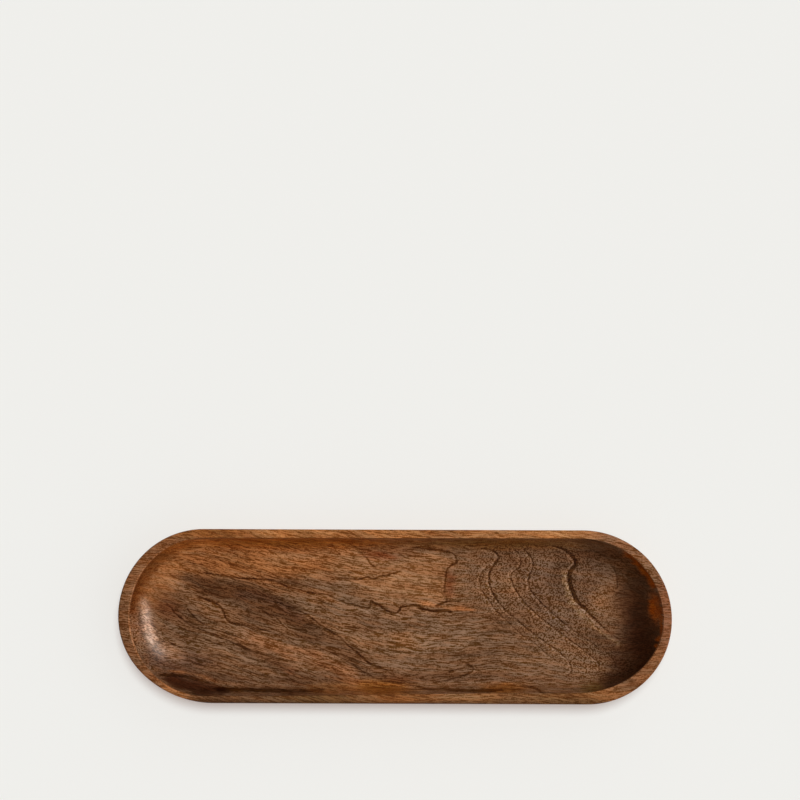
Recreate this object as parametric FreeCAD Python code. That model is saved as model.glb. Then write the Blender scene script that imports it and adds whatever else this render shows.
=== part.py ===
import FreeCAD, Part
import math
import os

# Oblong serving plate, carved from one block of mango wood and sanded by hand.
# Millimetres. X runs along the length, Y across the width from the near side to the far
# side, and Z up. The plate lies on its base, and the origin is on the surface it lies on,
# under the middle of the plate.
#
# The wood is one piece: a block with rounded ends and sides that lean in towards the base,
# and a scoop carved into its top. The scoop rises steeply along the two long sides and in
# a long, shallow sweep at the two ends. The rim between the two outlines is flat, and hand
# sanding left it wider in some places than in others.

Vector = FreeCAD.Vector

# Overall size
length = 400.0
width = 126.0
height = 26.0

# Block: how far each sanded corner of its outline reaches along the length
block_reach_far_left = 62.0
block_reach_near_left = 69.5
block_reach_near_right = 61.0
block_reach_far_right = 65.0
# The right end comes to its furthest point this far across from the middle
right_tip_shift = -1.8

# Sides and base of the block
side_taper = 7.0  # degrees that the sides lean in towards the base
foot_radius = 7.0  # rounding between the sides and the base
outer_arris = 1.4  # softened outer edge of the rim

# Rim: its width at the tip of each end, and beside each corner
rim_left_tip = 8.0
rim_right_tip = 6.1
rim_far_left = 6.3
rim_near_left = 5.3
rim_near_right = 8.3
rim_far_right = 6.0
inner_arris = 0.9  # softened inner edge of the rim

# Scoop: how far each corner of its mouth reaches along the length
mouth_reach_far_left = 54.0
mouth_reach_near_left = 54.0
mouth_reach_near_right = 62.5
mouth_reach_far_right = 59.5

# Scoop: the wood left under it, and how far its wall runs in from the mouth to the floor
floor_thickness = 8.0
end_run = 30.0
side_run = 7.0
floor_corner_reach = 52.0  # along the length, at each corner of the flat floor
wall_sweep = 66.0  # degrees that the wall turns through from the floor to the mouth

# How finely the scoop's wall is drawn, and how close an edge lies to its outline
wall_sections = 6
edge_tolerance = 0.05


def carved_corner(centre_x, centre_y, reach_x, reach_y, start, z):
    """A quarter of an ellipse, anticlockwise from an angle in degrees."""
    quarter = Part.makeCircle(1.0, Vector(0, 0, 0), Vector(0, 0, 1), start, start + 90)
    stretch = FreeCAD.Matrix(
        reach_x, 0, 0, centre_x,
        0, reach_y, 0, centre_y,
        0, 0, 1, z,
        0, 0, 0, 1,
    )
    return [quarter.transformGeometry(stretch).Edges[0]]


def sawn_corner(centre_x, centre_y, reach_x, reach_y, start, z):
    """Two arcs that meet halfway round and run into each other, close to an ellipse."""
    half_turn = math.radians(45)
    excess = (reach_y - reach_x) / (2 * math.cos(half_turn) - 1)
    tip_radius = reach_x + excess * math.cos(half_turn)
    side_radius = reach_y - excess * math.sin(half_turn)
    towards_x = 1 if start in (0, 270) else -1
    towards_y = 1 if start in (0, 90) else -1
    tip_arc = (tip_radius, Vector(centre_x + towards_x * (reach_x - tip_radius), centre_y, z))
    side_arc = (side_radius, Vector(centre_x, centre_y + towards_y * (reach_y - side_radius), z))
    arcs = [tip_arc, side_arc] if start in (0, 180) else [side_arc, tip_arc]
    up = Vector(0, 0, 1)
    return [
        Part.makeCircle(arcs[0][0], arcs[0][1], up, start, start + 45),
        Part.makeCircle(arcs[1][0], arcs[1][1], up, start + 45, start + 90),
    ]


def side(start_x, start_y, end_x, end_y, z):
    """A long side, which leaves both corners straight and drifts gently between them."""
    if start_y == end_y:
        return [Part.makeLine(Vector(start_x, start_y, z), Vector(end_x, end_y, z))]
    third = (end_x - start_x) / 3
    curve = Part.BezierCurve()
    curve.setPoles([
        Vector(start_x, start_y, z),
        Vector(start_x + third, start_y, z),
        Vector(end_x - third, end_y, z),
        Vector(end_x, end_y, z),
    ])
    return [curve.toShape()]


def oblong(corner, left, right, reaches, sides, z):
    """A long outline with rounded corners of one kind, at one height.

    left and right are the tips of its ends. reaches says how far each corner runs along
    the length, and sides how far across the width it goes, both in the order far left,
    near left, near right, far right.
    """
    far_left, near_left, near_right, far_right = (
        left + reaches[0], left + reaches[1], right - reaches[2], right - reaches[3],
    )
    tip = right_tip_shift
    return Part.Wire(
        corner(far_right, tip, reaches[3], sides[3] - tip, 0, z)
        + side(far_right, sides[3], far_left, sides[0], z)
        + corner(far_left, 0.0, reaches[0], sides[0], 90, z)
        + corner(near_left, 0.0, reaches[1], -sides[1], 180, z)
        + side(near_left, sides[1], near_right, sides[2], z)
        + corner(near_right, tip, reaches[2], tip - sides[2], 270, z)
    )


def block_outline(inset, z):
    """The block's outline, moved inwards all round."""
    reaches = [
        block_reach_far_left - inset,
        block_reach_near_left - inset,
        block_reach_near_right - inset,
        block_reach_far_right - inset,
    ]
    half_width = width / 2 - inset
    sides = [half_width, -half_width, -half_width, half_width]
    left = -length / 2 + inset
    right = length / 2 - inset
    return oblong(sawn_corner, left, right, reaches, sides, z)


def scoop_outline(share, z):
    """The scoop's outline: share is 0 round the flat floor and 1 at the mouth."""
    inwards = 1.0 - share
    left = -length / 2 + rim_left_tip + end_run * inwards
    right = length / 2 - rim_right_tip - end_run * inwards
    mouth_reaches = [
        mouth_reach_far_left,
        mouth_reach_near_left,
        mouth_reach_near_right,
        mouth_reach_far_right,
    ]
    reaches = [floor_corner_reach * inwards + reach * share for reach in mouth_reaches]
    half_width = width / 2 - side_run * inwards
    sides = [
        half_width - rim_far_left,
        -half_width + rim_near_left,
        -half_width + rim_near_right,
        half_width - rim_far_right,
    ]
    return oblong(carved_corner, left, right, reaches, sides, z)


def block():
    """The rounded block with its leaning sides and rounded foot."""
    lean = height * math.tan(math.radians(side_taper))
    solid = Part.makeLoft([block_outline(lean, 0.0), block_outline(0.0, height)], True, True)
    return solid.makeFillet(foot_radius, edges_along(solid, block_outline(lean, 0.0)))


def scoop():
    """The carved hollow. Its wall leaves the floor level and steepens towards the mouth."""
    depth = height - floor_thickness
    sweep = math.radians(wall_sweep)
    sections = []
    for step in range(wall_sections):
        turn = sweep * step / (wall_sections - 1)
        share = math.sin(turn) / math.sin(sweep)
        rise = (1.0 - math.cos(turn)) / (1.0 - math.cos(sweep))
        sections.append(scoop_outline(share, floor_thickness + depth * rise))
    return Part.makeLoft(sections, True, False)


def edges_along(solid, outline):
    """The solid's edges that run along an outline."""
    found = []
    for edge in solid.Edges:
        middle = edge.valueAt((edge.FirstParameter + edge.LastParameter) / 2)
        if outline.distToShape(Part.Vertex(middle))[0] < edge_tolerance:
            found.append(edge)
    return found


def plate():
    """The whole plate, one solid, with both edges of its rim sanded round."""
    solid = block().cut(scoop())
    solid = solid.makeFillet(outer_arris, edges_along(solid, block_outline(0.0, height)))
    return solid.makeFillet(inner_arris, edges_along(solid, scoop_outline(1.0, height)))


os.makedirs("parts", exist_ok=True)
plate().exportStep("parts/plate.step")
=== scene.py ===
import math

import bmesh
import bpy
import numpy as np
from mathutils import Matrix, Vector, noise


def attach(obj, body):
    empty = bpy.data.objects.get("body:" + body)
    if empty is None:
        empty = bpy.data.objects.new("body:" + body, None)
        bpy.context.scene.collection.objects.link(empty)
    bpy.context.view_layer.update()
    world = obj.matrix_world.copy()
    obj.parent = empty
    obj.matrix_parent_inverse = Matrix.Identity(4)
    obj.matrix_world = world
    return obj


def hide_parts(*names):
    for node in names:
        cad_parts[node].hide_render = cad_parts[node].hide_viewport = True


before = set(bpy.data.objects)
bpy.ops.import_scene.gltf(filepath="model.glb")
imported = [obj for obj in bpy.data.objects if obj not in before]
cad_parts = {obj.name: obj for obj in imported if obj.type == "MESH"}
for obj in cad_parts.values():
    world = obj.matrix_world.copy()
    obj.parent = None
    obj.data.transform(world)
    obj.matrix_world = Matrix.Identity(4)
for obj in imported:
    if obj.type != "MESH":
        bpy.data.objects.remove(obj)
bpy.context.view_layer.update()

# The plate is drawn in millimetres and brought to metres at the end. Its plan is the one
# the frame has: X along the length, Y from the near side to the far side, Z up. What differs
# at each corner is given in the order far left, near left, near right, far right.
millimetre = 0.001

# Block
length = 400.0
width = 126.0
height = 26.0
block_reaches = (62.0, 69.5, 61.0, 65.0)
right_tip_shift = -1.8
side_taper = math.radians(7.0)
foot_radius = 7.0
outer_arris = 1.4
inner_arris = 0.9

# Scoop
rim_left_tip = 8.0
rim_right_tip = 6.1
rim_widths = (6.3, 5.3, 8.3, 6.0)
mouth_reaches = (54.0, 54.0, 62.5, 59.5)
floor_thickness = 8.0
end_run = 30.0
side_run = 7.0
floor_corner_reach = 52.0
wall_sweep = math.radians(66.0)

# How many steps go round each corner and along each long side
corner_steps = 72
side_steps = 196
ring_count = 4 * corner_steps + 2 * side_steps

# How many rings make each part of the skin
base_rings = 24
foot_rings = 8
side_rings = 11
outer_arris_rings = 5
rim_rings = 5
inner_arris_rings = 5
wall_rings = 25
floor_rings = 42

# The turn at which the scoop's wall gives way to the softened inner edge of the rim
wall_end = math.radians(63.0)

# The middle line that the base's and the floor's rings shrink to: half its length beside the
# long sides, and how far it runs on beside each rounded end
spine_half_length = 125.0
spine_end_run = 30.0

# Rings that meet on the middle line are joined where they come this close
join_distance = 0.0005

# Waves that hand carving left in the scoop's wall: how wide they are, and how deep they cut
broad_wave_width, fine_wave_width = 26.0, 9.0
even_cut, broad_wave_cut, fine_wave_cut = 0.35, 0.5, 0.16


# Outlines

def ellipse_corner(centre, reach, quarter):
    """Points of a quarter ellipse, anticlockwise, without its last one."""
    turn = (np.arange(corner_steps) / corner_steps + quarter) * math.pi / 2
    x, y = reach[0] * np.cos(turn), reach[1] * np.sin(turn)
    return np.stack([centre[0] + x, centre[1] + y], 1)


def arc_corner(centre, reach, quarter):
    """The same quarter drawn as two arcs that run into each other."""
    eighth = math.pi / 4
    excess = (reach[1] - reach[0]) / (2 * math.cos(eighth) - 1)
    tip_radius = reach[0] + excess * math.cos(eighth)
    side_radius = reach[1] - excess * math.sin(eighth)
    turn = (np.arange(corner_steps) / corner_steps + quarter) * math.pi / 2
    cos, sin = np.cos(turn), np.sin(turn)
    near_tip = np.abs(cos) > np.abs(sin)
    tip_x = (reach[0] - tip_radius) * np.sign(cos) + tip_radius * cos
    side_y = (reach[1] - side_radius) * np.sign(sin) + side_radius * sin
    x = np.where(near_tip, tip_x, side_radius * cos)
    y = np.where(near_tip, tip_radius * sin, side_y)
    return np.stack([centre[0] + x, centre[1] + y], 1)


def steps(start, end, count):
    """A number of evenly spaced values after the start, up to the end."""
    return np.linspace(start, end, count + 1)[1:]


def long_side(start, end):
    """Points of a long side, which leaves both corners straight."""
    part = np.arange(side_steps) / side_steps
    x = start[0] + (end[0] - start[0]) * part
    y = start[1] + (end[1] - start[1]) * part * part * (3 - 2 * part)
    return np.stack([x, y], 1)


def oblong(corner, left, right, reaches, sides):
    """The points of an outline, anticlockwise from its right tip."""
    starts = (left + reaches[0], left + reaches[1], right - reaches[2], right - reaches[3])
    far_left, near_left, near_right, far_right = zip(starts, sides)
    tip = right_tip_shift
    return np.concatenate([
        corner((far_right[0], tip), (reaches[3], far_right[1] - tip), 0),
        long_side(far_right, far_left),
        corner((far_left[0], 0.0), (reaches[0], far_left[1]), 1),
        corner((near_left[0], 0.0), (reaches[1], -near_left[1]), 2),
        long_side(near_left, near_right),
        corner((near_right[0], tip), (reaches[2], tip - near_right[1]), 3),
    ])


def block_outline(inset):
    """The block's outline, moved inwards all round."""
    reaches = [reach - inset for reach in block_reaches]
    half = width / 2 - inset
    return oblong(arc_corner, -length / 2 + inset, length / 2 - inset, reaches, (half, -half, -half, half))


def scoop_outline(share):
    """The scoop's outline: share is 0 round the flat floor and 1 at the mouth."""
    inwards = 1.0 - share
    left = -length / 2 + rim_left_tip + end_run * inwards
    right = length / 2 - rim_right_tip - end_run * inwards
    reaches = [floor_corner_reach * inwards + reach * share for reach in mouth_reaches]
    half = width / 2 - side_run * inwards
    sides = [side * (half - rim) for side, rim in zip((1, -1, -1, 1), rim_widths)]
    return oblong(ellipse_corner, left, right, reaches, sides)


def spine():
    """Where each place of an outline comes to when it shrinks to the middle line."""
    turn = np.arange(corner_steps) / corner_steps * math.pi / 2
    along = spine_half_length - 2 * spine_half_length * np.arange(side_steps) / side_steps
    right_end = spine_half_length + spine_end_run * np.cos(turn)
    left_end = -spine_half_length - spine_end_run * np.sin(turn)
    left_tip = [-spine_half_length - spine_end_run]
    far_half = np.concatenate([right_end, along, left_end, left_tip])
    x = np.concatenate([far_half, far_half[1:-1][::-1]])
    return np.stack([x, np.zeros(len(x))], 1)


# The plate's skin, ring by ring

# Every vertex keeps the part of the skin that it is on, as one of these
underside, outside, rim, inner_edge, scoop = 0.0, 1.0, 2.0, 3.0, 4.0


def skin_rings():
    """Every ring of the plate's skin, from the middle of its base up and into its scoop."""
    rings = []

    def add(outline, z, place):
        rings.append((np.column_stack([outline, np.full(ring_count, z)]), place))

    # Base, foot and side
    middle = spine()
    lean, slope = math.tan(side_taper), math.cos(side_taper)
    foot_inset = (height - foot_radius) * lean + foot_radius / slope
    base = block_outline(foot_inset)
    add(middle, 0.0, underside)
    for part in steps(0.0, 1.0, base_rings):
        add(middle + (base - middle) * part, 0.0, underside)
    for turn in steps(-math.pi / 2, -side_taper, foot_rings):
        z = foot_radius * (1 + math.sin(turn))
        add(block_outline(foot_inset - foot_radius * math.cos(turn)), z, outside)
    side_low = foot_radius * (1 - math.sin(side_taper))
    side_high = height - outer_arris * (1 + math.sin(side_taper))
    for z in steps(side_low, side_high, side_rings):
        add(block_outline((height - z) * lean), z, outside)

    # Rim, with both its edges sanded round
    arris_inset = outer_arris * lean + outer_arris / slope
    for turn in steps(-side_taper, math.pi / 2, outer_arris_rings):
        z = height - outer_arris * (1 - math.sin(turn))
        add(block_outline(arris_inset - outer_arris * math.cos(turn)), z, rim)
    mouth = scoop_outline(1.0)
    floor = scoop_outline(0.0)
    outwards = mouth - floor
    run = np.linalg.norm(outwards, axis=1)
    outwards /= run[:, None]
    depth = height - floor_thickness
    mouth_rise = depth * math.sin(wall_sweep) ** 2
    mouth_run = (1 - math.cos(wall_sweep)) * run * math.cos(wall_sweep)
    steepness = np.arctan2(mouth_rise, mouth_run)
    back = inner_arris * np.tan(steepness / 2)
    rim_outer = block_outline(arris_inset)
    rim_inner = mouth + outwards * back[:, None]
    for part in steps(0.0, 1.0, rim_rings):
        add(rim_outer + (rim_inner - rim_outer) * part, height, rim)
    for part in steps(0.0, 1.0, inner_arris_rings):
        turn = steepness * part
        outset = back - inner_arris * np.sin(turn)
        z = height - inner_arris * (1 - np.cos(turn))
        add(mouth + outwards * outset[:, None], z, inner_edge)

    # Wall and floor of the scoop
    for turn in np.linspace(wall_end, 0.0, wall_rings):
        share = math.sin(turn) / math.sin(wall_sweep)
        rise = (1 - math.cos(turn)) / (1 - math.cos(wall_sweep))
        add(scoop_outline(share), floor_thickness + depth * rise, scoop)
    for part in steps(1.0, 0.0, floor_rings):
        add(middle + (floor - middle) * part, floor_thickness, scoop)
    return rings


def carve_plate():
    """The plate as one closed skin, made by drawing its rings out one after another."""
    rings = skin_rings()
    bm = bmesh.new()
    place_of = bm.verts.layers.float.new("place")
    ring = bmesh.ops.create_circle(bm, cap_ends=False, radius=1.0, segments=ring_count)["verts"]
    for vert, spot in zip(ring, rings[0][0]):
        vert.co = spot
        vert[place_of] = rings[0][1]
    for spots, place in rings[1:]:
        edges = [bm.edges.get((ring[i - 1], ring[i])) for i in range(ring_count)]
        drawn = bmesh.ops.extrude_edge_only(bm, edges=edges)
        new_verts = {piece for piece in drawn["geom"] if isinstance(piece, bmesh.types.BMVert)}
        following = []
        for vert, spot in zip(ring, spots):
            neighbours = [edge.other_vert(vert) for edge in vert.link_edges]
            drawn_out = next(neighbour for neighbour in neighbours if neighbour in new_verts)
            drawn_out.co = spot
            drawn_out[place_of] = place
            following.append(drawn_out)
        ring = following
    bmesh.ops.remove_doubles(bm, verts=bm.verts, dist=join_distance)
    bmesh.ops.recalc_face_normals(bm, faces=bm.faces)
    return bm


def sand_by_hand(bm):
    """Slight waves that hand carving left in the wall of the scoop, deepest halfway up it."""
    place_of = bm.verts.layers.float["place"]
    for vert in bm.verts:
        x, y, z = vert.co
        if vert[place_of] == scoop and z > floor_thickness:
            risen = (z - floor_thickness) / (height - floor_thickness)
            broad = noise.noise(Vector((x / broad_wave_width, y / broad_wave_width, 1.7)))
            fine = noise.noise(Vector((x / fine_wave_width, y / fine_wave_width, 5.1)))
            cut = even_cut + broad_wave_cut * broad + fine_wave_cut * fine
            vert.co.z -= 4 * risen * (1 - risen) * cut


# The lie of the grain: X, Y and the angle in degrees at which the fibres run there
grain_lie = [
    (-184, 40, 10), (-185, -4, -40), (-178, 10, -40), (-164, -19, -18), (-170, -40, -12), (-160, 17, -22),
    (-142, 39, -12), (-142, 10, -26), (-142, -6, -33), (-142, -26, -20), (-141, -48, -12),
    (-106, 46, -2), (-106, 27, -16), (-106, 10, -33), (-105, -19, -28), (-105, -37, -14), (-105, -54, -6),
    (-69, 43, 6), (-69, 33, -2), (-69, 17, -20), (-69, -1, -33), (-69, -26, -28), (-69, -48, -20),
    (-33, 47, -3), (-33, 27, -2), (-33, 7, -12), (-33, -8, -12), (-36, -23, -40), (-24, -33, -38),
    (-33, -52, -20), (3, 47, 0), (3, 33, 8), (3, 18, -16), (14, 24, -16), (3, -12, -4), (1, -33, -12),
    (4, -50, -10), (25, 38, 8), (26, 20, -22), (30, 12, -20), (33, 7, -6), (40, -4, -2), (40, -30, 2),
    (53, -44, 25), (37, -53, -3), (77, 33, 0), (77, -4, -3), (77, -29, -2), (91, -47, 2), (91, -55, -3),
    (120, 33, -8), (109, 7, -20), (120, -18, -18), (121, -40, 0), (150, 25, -10), (150, -4, -15),
    (150, -32, -10), (177, 34, -35), (181, -3, 5), (177, -38, 30), (-196, 0, 0), (-180, 43, 0),
    (-180, -42, 0), (196, 2, 4), (180, 42, -5), (180, -41, 4), (-69, 60, 0), (76, 60, -1), (-68, -60, 0),
    (76, -59, 0), (-150, 60, 2), (-110, 60, 0), (-30, 60, 0), (5, 60, 0), (40, 60, 0), (115, 59, 0),
    (150, 56, -4), (-150, -60, -2), (-110, -60, 0), (-30, -60, 0), (5, -60, 0), (40, -60, 0),
    (115, -59, 0), (150, -56, 4),
]

# How far one of these angles reaches along the length and across the width
lie_reach_x, lie_reach_y = 22.0, 11.0
# The little that every angle counts beyond its reach, so that no spot is left without one
far_pull = 1e-6

# The map of the grain is made of slow waves: how many there are each way, how strongly they are
# held down, and the grid of spots that they are fitted to
waves_along, waves_across = 13, 6
wave_damping = 0.05
fitted_half_length, fitted_half_width = 198.0, 63.0
fitted_columns, fitted_rows = 90, 32


def smooth_waves(x, y):
    """Slow waves over the plan, with their slopes along X and Y, to fit smooth maps with."""
    turn_x, turn_y = (x + length / 2) / length * math.pi, (y + width / 2) / width * math.pi
    flat, even = np.zeros_like(x), np.ones_like(x)
    values, slopes_x, slopes_y = [x, y], [even, flat], [flat, even]
    for i in range(waves_along):
        for j in range(waves_across):
            if i + j == 0:
                continue
            values.append(np.cos(i * turn_x) * np.cos(j * turn_y))
            slopes_x.append(-np.sin(i * turn_x) * np.cos(j * turn_y) * i * math.pi / length)
            slopes_y.append(-np.cos(i * turn_x) * np.sin(j * turn_y) * j * math.pi / width)
    return np.stack(values, 1), np.stack(slopes_x, 1), np.stack(slopes_y, 1)


def map_of_grain(x, y):
    """Distances along and across the fibres at every spot, in millimetres."""
    lie = np.array(grain_lie, dtype=float)
    columns = np.linspace(-fitted_half_length, fitted_half_length, fitted_columns)
    rows = np.linspace(-fitted_half_width, fitted_half_width, fitted_rows)
    grid_x, grid_y = [grid.ravel() for grid in np.meshgrid(columns, rows)]
    away_x = (grid_x[:, None] - lie[:, 0]) / lie_reach_x
    away_y = (grid_y[:, None] - lie[:, 1]) / lie_reach_y
    away = away_x ** 2 + away_y ** 2
    pull = np.exp(-away) + far_pull / (1 + away)
    turn = np.radians((pull * lie[:, 2]).sum(1) / pull.sum(1))
    _, slopes_x, slopes_y = smooth_waves(grid_x, grid_y)
    slopes = np.concatenate([slopes_x, slopes_y])
    damping = np.eye(slopes.shape[1]) * wave_damping
    damping[:2] = 0.0  # X and Y themselves aren't held down
    equations = np.concatenate([slopes, damping])
    rest = np.zeros(slopes.shape[1])
    along_goal = np.concatenate([np.cos(turn), np.sin(turn), rest])
    across_goal = np.concatenate([-np.sin(turn), np.cos(turn), rest])
    along = np.linalg.lstsq(equations, along_goal, rcond=None)[0]
    across = np.linalg.lstsq(equations, across_goal, rcond=None)[0]
    values, _, _ = smooth_waves(x, y)
    return values @ along, values @ across


# Lines are drawn in short runs, and bands in longer ones
line_step, band_step = 0.8, 3.0
# How far from a line its marks reach, how soon they fade there, and how long its ends taper
line_reach, line_fade, line_taper = 5.0, 1.6, 5.0


def ramp(value, start, end):
    """0 before the start, 1 past the end and even between them. The end may be the lower one."""
    return np.clip((value - start) / (end - start), 0, 1)


def flowing(points, step):
    """A smooth line through points, as many short runs."""
    p = np.array([points[0], *points, points[-1]], dtype=float)
    line = []
    for a, b, c, d in zip(p, p[1:], p[2:], p[3:]):
        for t in np.arange(0, 1, step / max(step, np.linalg.norm(c - b))):
            line.append(0.5 * (2 * b + (c - a) * t + (2 * a - 5 * b + 4 * c - d) * t * t
                               + (3 * b - 3 * c + d - a) * t * t * t))
    return np.array(line + [p[-1]])


def beside(spots, line):
    """How far each spot lies to the left of a line, and how far along it, from 0 to 1."""
    starts, runs = line[:-1], np.diff(line, axis=0)
    lengths = np.maximum(np.einsum("ij,ij->i", runs, runs), 1e-9)
    from_start = spots[:, None, :] - starts[None]
    part = np.clip(np.einsum("kij,ij->ki", from_start, runs) / lengths, 0, 1)
    gap = from_start - part[..., None] * runs
    away = np.einsum("kij,kij->ki", gap, gap)
    nearest = away.argmin(1)
    rows = np.arange(len(spots))
    off, run = gap[rows, nearest], runs[nearest]
    left = np.sign(run[:, 0] * off[:, 1] - run[:, 1] * off[:, 0])
    return left * np.sqrt(away[rows, nearest]), (nearest + part[rows, nearest]) / len(runs)


def along_line(part, values):
    """What a few evenly spaced values come to at parts of a line from 0 to 1."""
    return np.interp(part, np.linspace(0, 1, len(values)), values)


def draw_lines(spots, lines):
    """Offset from the nearest line, how strong the line is there, and half its width."""
    result = np.zeros((len(spots), 3))
    result[:, 2] = 1.0
    nearest = np.full(len(spots), np.inf)
    for strengths, half_widths, points in lines:
        line = flowing(points, line_step)
        low, high = line.min(0) - line_reach, line.max(0) + line_reach
        near = np.flatnonzero(((spots > low) & (spots < high)).all(1))
        offset, part = beside(spots[near], line)
        closer = np.abs(offset) < nearest[near]
        near, offset, part = near[closer], offset[closer], part[closer]
        nearest[near] = np.abs(offset)
        fade = ramp(np.abs(offset), line_reach, line_reach - line_fade)
        from_end = np.minimum(part, 1 - part) * len(line) * line_step
        ends = ramp(from_end, 0, line_taper)
        result[near, 0] = offset
        result[near, 1] = along_line(part, strengths) * fade * ends * (2 - ends)
        result[near, 2] = along_line(part, half_widths)
    return result


# Growth rings that cross the right half of the scoop, each from the far side to the near side.
# Each line has its strengths and its half widths, from its start to its end, and its points.
growth_rings = [
    ((0.7, 0.5), (0.6, 0.5),
     [(68, 35.5), (67, 34.5), (63, 31), (62, 25.5), (62.5, 19), (66.5, 14), (69.5, 9), (73.5, 3.5),
      (81, -3.5), (86.5, -9), (95, -16), (103, -21.5), (110.5, -28), (117.5, -33)]),
    ((1.1, 0.6), (0.85, 0.5),
     [(61.5, 48.5), (67, 48), (72, 46.5), (75, 43.5), (75, 40.5), (71.5, 36), (69, 31), (68.5, 25.5),
      (69.5, 20), (72, 14.5), (76.5, 8), (82, 2), (89, -3.5), (96.5, -10), (106, -17), (115, -23.5),
      (124, -30.5), (128.5, -37), (128.5, -42), (124, -44.5)]),
    ((0.9, 0.6), (0.6, 0.5),
     [(86, 49), (87.5, 47.5), (91, 43), (91, 35.5), (85.5, 31), (84.5, 26.5), (87.5, 19), (93, 11),
      (100, 3.5), (108.5, -3.5), (117, -10), (127, -17.5), (134, -22.5), (142, -29), (148, -35),
      (149.5, -41)]),
    ((1, 0.6), (0.6, 0.5),
     [(93, 49), (95, 47), (99.5, 41), (100.5, 36), (98, 29), (97, 23.5), (100, 16.5), (105.5, 10),
      (113, 3), (120.5, -3.5), (128.5, -10), (137.5, -16), (145, -21), (150.5, -26)]),
    ((1.0, 1.6, 2.2, 1.8, 0.5, 0.2), (0.6, 1.5, 1.7, 1.2, 0.6, 0.5),
     [(114, 50.5), (122, 48.5), (127.5, 44.5), (131, 40.5), (131.5, 36.5), (128.5, 33), (127, 29.5),
      (127.5, 24), (129, 18.5), (131.5, 12.5), (135, 8), (138.5, 5), (143.5, -0.5), (149.5, -6.5),
      (155, -11.5), (162, -16.5), (166.5, -20), (169, -24.5)]),
    ((0.6, 0.5), (0.8, 0.6),
     [(156.5, 39), (159, 34.5), (161.5, 29.5), (162, 23.5), (161.5, 18.5)]),
]

# Single dark veins and fibres in the rest of the scoop
veins = [
    ((1.2, 1), (0.8, 0.9),
     [(-145, 12), (-141.5, 11.5), (-135, 9.5), (-131, 8), (-127.5, 5.5), (-125.5, 2.5), (-124, -1.5),
      (-121, -5.5), (-116.5, -7.5), (-111, -8), (-104, -9.5)]),
    ((0.8, 0.7), (0.6, 0.7),
     [(-168.5, 9), (-164, 5.5), (-160.5, 0.5), (-155, -4), (-149.5, -8), (-144, -11), (-136.5, -13.5),
      (-129, -17), (-118.5, -20.5), (-105.5, -26)]),
    ((0.7, 1.2), (0.6, 0.9),
     [(-102, 13), (-94, 10.5), (-84, 8), (-75, 3.5), (-65.5, 0.5), (-56.5, -6), (-47.5, -12), (-40, -17),
      (-33, -23.5), (-25, -30), (-19.5, -35), (-14.5, -37.5), (-3.5, -41.5)]),
    ((0.6, 0.8), (0.7, 0.9),
     [(-47.5, -27), (-36, -33.5), (-25, -40.5), (-18, -44.5), (-10.5, -48), (-1.5, -49.5), (7.5, -50.5),
      (14.5, -51.5), (25.5, -53.5), (38, -53.5), (52, -54), (66.5, -54), (80, -53)]),
    ((0.8, 0.6), (0.6, 0.7),
     [(-97, 2.5), (-94, 1), (-87, -2.5), (-80.5, -9), (-72.5, -14.5), (-60.5, -21), (-51, -27.5)]),
    ((0.9, 0.8), (0.8, 0.7),
     [(-141, 30), (-129.5, 28.5), (-116.5, 26.5), (-98.5, 25.5), (-87, 24), (-77, 19), (-69.5, 17.5),
      (-60.5, 15.5), (-49, 14), (-43.5, 12)]),
    ((1.3, 1.3), (0.8, 1.1),
     [(-41.5, 10.5), (-33, 7.5), (-25.5, 6), (-19, 4.5), (-17.5, 10), (-15, 8.5), (-10.5, 6), (-5.5, 2.5),
      (-0.5, 0.5), (3, 3), (4.5, 5.5), (8, 6), (14.5, 7), (18, 5), (25.5, 3), (33.5, 3), (41.5, 2.5)]),
    ((1, 1), (0.7, 0.8),
     [(-31.5, 25.5), (-27, 25.5), (-21.5, 27), (-15, 26.5), (-11, 28), (-4.5, 28.5), (-4, 29.5),
      (1, 30.5), (5, 32)]),
    ((0.9, 0.9), (0.8, 0.8),
     [(37.5, -48), (45, -46), (51.5, -44), (56.5, -41), (57, -39), (53.5, -36), (50.5, -36)]),
    ((1, 0.8), (0.9, 0.8),
     [(91, -51), (99.5, -52), (103.5, -53), (107, -55), (112, -55), (119.5, -56)]),
    ((0.5, 0.5), (0.6, 0.6),
     [(-133.5, 41.5), (-128, 39.5), (-120.5, 36.5), (-112, 34.5), (-103, 32), (-94, 30)]),
    ((0.7, 0.5), (0.7, 0.7),
     [(-173, -19.5), (-164, -21.5), (-157, -24), (-149, -25), (-138, -27.5), (-126, -30.5), (-110, -33.5)]),
    ((0.6, 0.5), (0.7, 0.7),
     [(-149, -34.5), (-142, -37), (-131, -37.5), (-118.5, -39), (-105.5, -42.5), (-90.5, -45.5)]),
    ((1.3, 1.3, 1.0), (0.9, 1.2, 0.9),
     [(-171, -43.2), (-164, -43.8), (-156, -44.6), (-148, -46.4), (-140, -49), (-133, -51.5)]),
]

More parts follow.
